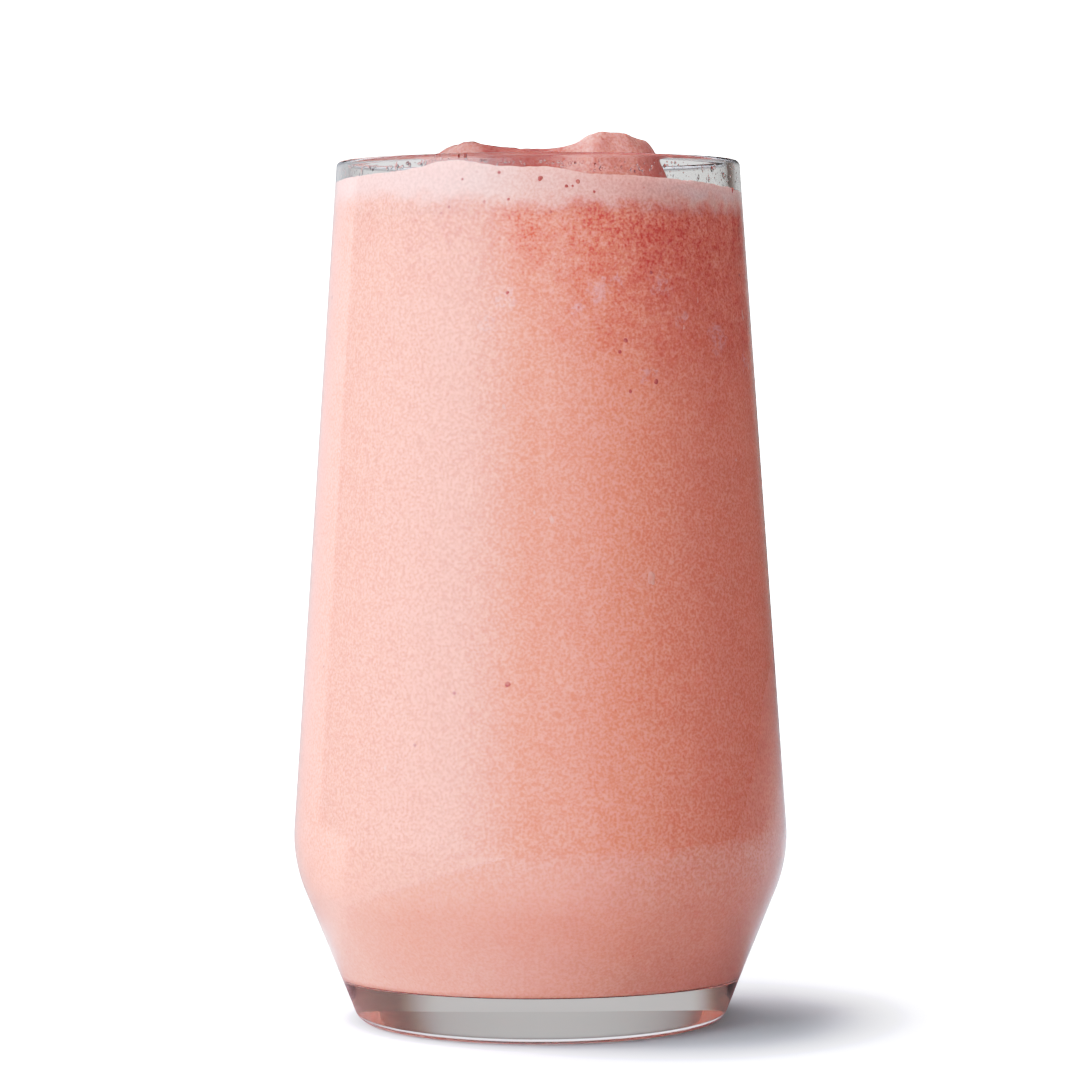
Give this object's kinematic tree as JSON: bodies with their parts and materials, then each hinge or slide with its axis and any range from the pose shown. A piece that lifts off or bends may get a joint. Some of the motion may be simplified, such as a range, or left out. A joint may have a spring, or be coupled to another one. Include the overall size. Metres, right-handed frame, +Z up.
{
  "type": "strawberry smoothie",
  "caption": "Strawberry smoothie in a clear tumbler that is widest near its foot, with a collar of pale froth and icy slush mounded past the rim.",
  "frame": {"origin": "on the tumbler's axis, on the surface that it stands on", "axes": "+Z up along the tumbler's axis, -Y towards the shown side, +X to its right"},
  "size_m": [0.0818, 0.0818, 0.1468],
  "materials": {
    "clear_glass": "clear pressed glass, fire-polished",
    "smoothie": null,
    "froth": null
  },
  "bodies": {
    "root": {"tumbler": "clear_glass", "smoothie": "smoothie", "froth": "froth"}
  },
  "joints": []
}
